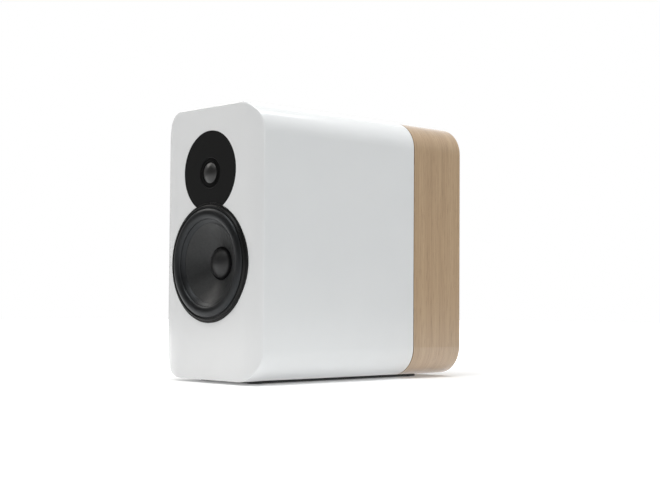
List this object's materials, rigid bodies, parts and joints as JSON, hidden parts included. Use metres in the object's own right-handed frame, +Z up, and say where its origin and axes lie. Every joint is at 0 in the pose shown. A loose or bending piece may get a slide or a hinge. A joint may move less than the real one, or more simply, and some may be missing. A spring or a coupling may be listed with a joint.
{
  "type": "bookshelf speaker",
  "caption": "Bookshelf speaker with a white rounded front shell, a light oak rear shell, a rubber-edged woofer, a dome tweeter, a rear port and binding posts, on a thin dark base.",
  "frame": {"origin": "on the floor, below the middle of the object's box", "axes": "+Z up, -Y out of the speaker's front, +Y out of its back, +X to the right seen from the front"},
  "size_m": [0.196, 0.4124, 0.359],
  "materials": {
    "white_lacquer": "satin",
    "oak_veneer": "satin",
    "fibreboard": "matte",
    "felt": "matte",
    "black_rubber": "satin",
    "black_plastic": "matte",
    "black_steel": "matte",
    "zinc_steel": "satin",
    "cast_aluminium": "matte",
    "ferrite": "matte",
    "spider_cloth": "matte",
    "cone_paper": "satin",
    "coil_former": "matte",
    "copper": "satin",
    "gold_plate": "polished",
    "board": "satin",
    "capacitor_case": "gloss",
    "cement": "matte",
    "lead_jacket": "matte",
    "dome_fabric": "satin"
  },
  "bodies": {
    "cabinet": {"front_shell": "white_lacquer", "rear_shell": "oak_veneer", "seam_gasket": "black_rubber", "joint_collar": "fibreboard", "cabinet_braces": "fibreboard", "damping_pads": "felt", "back_panel": "oak_veneer", "base_plate": "black_steel", "base_feet": "black_rubber", "base_isolators": "black_rubber", "base_screws": "black_steel", "woofer_basket": "cast_aluminium", "woofer_gasket": "black_rubber", "woofer_screws": "black_steel", "woofer_trim_ring": "black_plastic", "woofer_surround": "black_rubber", "woofer_spider": "spider_cloth", "woofer_front_plate": "zinc_steel", "woofer_magnet": "ferrite", "woofer_yoke": "zinc_steel", "woofer_terminals": "board", "tweeter_faceplate": "black_plastic", "tweeter_chassis": "cast_aluminium", "tweeter_gasket": "black_rubber", "tweeter_screws": "black_steel", "tweeter_surround": "dome_fabric", "tweeter_front_plate": "zinc_steel", "tweeter_magnet": "ferrite", "tweeter_yoke": "zinc_steel", "tweeter_rear_chamber": "black_plastic", "port_flare": "black_plastic", "port_tube": "black_plastic", "terminal_plate": "black_plastic", "terminal_gasket": "black_rubber", "terminal_screws": "black_steel", "post_studs": "gold_plate", "post_insulators": "black_plastic", "post_hex_nuts": "gold_plate", "jumper_links": "gold_plate", "crossover_standoffs": "black_plastic", "crossover_board": "board", "crossover_inductor_large": "copper", "crossover_inductor_small": "copper", "crossover_capacitors": "capacitor_case", "crossover_resistors": "cement", "internal_leads": "lead_jacket"},
    "woofer_moving": {"woofer_cone": "cone_paper", "woofer_dust_cap": "cone_paper", "woofer_coil_former": "coil_former", "woofer_coil_winding": "copper"},
    "tweeter_moving": {"tweeter_dome": "dome_fabric", "tweeter_voice_coil": "copper"},
    "washer_high_plus": {"post_washer_high_plus": "gold_plate"},
    "nut_high_plus": {"post_nut_high_plus": "gold_plate"},
    "washer_high_minus": {"post_washer_high_minus": "gold_plate"},
    "nut_high_minus": {"post_nut_high_minus": "gold_plate"},
    "washer_low_plus": {"post_washer_low_plus": "gold_plate"},
    "nut_low_plus": {"post_nut_low_plus": "gold_plate"},
    "washer_low_minus": {"post_washer_low_minus": "gold_plate"},
    "nut_low_minus": {"post_nut_low_minus": "gold_plate"}
  },
  "joints": [
    {"name": "woofer_travel", "type": "slide", "parent": "cabinet", "child": "woofer_moving", "axis": [0, -1, 0], "range_m": [-0.005, 0.005], "stiffness_N_per_m": 1200, "deforming": ["woofer_surround", "woofer_spider"]},
    {"name": "tweeter_travel", "type": "slide", "parent": "cabinet", "child": "tweeter_moving", "axis": [0, -1, 0], "range_m": [-0.0005, 0.0005], "stiffness_N_per_m": 800, "deforming": ["tweeter_surround"]},
    {"name": "washer_slide_high_plus", "type": "slide", "parent": "cabinet", "child": "washer_high_plus", "axis": [0, 1, 0], "range_m": [0, 0.005]},
    {"name": "nut_turn_high_plus", "type": "hinge", "parent": "washer_high_plus", "child": "nut_high_plus", "pos_m": [0.02, 0.1945, 0.102], "axis": [0, 1, 0], "range_deg": [0, 1440]},
    {"name": "washer_slide_high_minus", "type": "slide", "parent": "cabinet", "child": "washer_high_minus", "axis": [0, 1, 0], "range_m": [0, 0.005]},
    {"name": "nut_turn_high_minus", "type": "hinge", "parent": "washer_high_minus", "child": "nut_high_minus", "pos_m": [-0.02, 0.1945, 0.102], "axis": [0, 1, 0], "range_deg": [0, 1440]},
    {"name": "washer_slide_low_plus", "type": "slide", "parent": "cabinet", "child": "washer_low_plus", "axis": [0, 1, 0], "range_m": [0, 0.005]},
    {"name": "nut_turn_low_plus", "type": "hinge", "parent": "washer_low_plus", "child": "nut_low_plus", "pos_m": [0.02, 0.1945, 0.07], "axis": [0, 1, 0], "range_deg": [0, 1440]},
    {"name": "washer_slide_low_minus", "type": "slide", "parent": "cabinet", "child": "washer_low_minus", "axis": [0, 1, 0], "range_m": [0, 0.005]},
    {"name": "nut_turn_low_minus", "type": "hinge", "parent": "washer_low_minus", "child": "nut_low_minus", "pos_m": [-0.02, 0.1945, 0.07], "axis": [0, 1, 0], "range_deg": [0, 1440]}
  ],
  "couplings": [
    {"joint": "washer_slide_high_plus", "follows": "nut_turn_high_plus", "m_per_rad": 0.00019894},
    {"joint": "washer_slide_high_minus", "follows": "nut_turn_high_minus", "m_per_rad": 0.00019894},
    {"joint": "washer_slide_low_plus", "follows": "nut_turn_low_plus", "m_per_rad": 0.00019894},
    {"joint": "washer_slide_low_minus", "follows": "nut_turn_low_minus", "m_per_rad": 0.00019894}
  ]
}
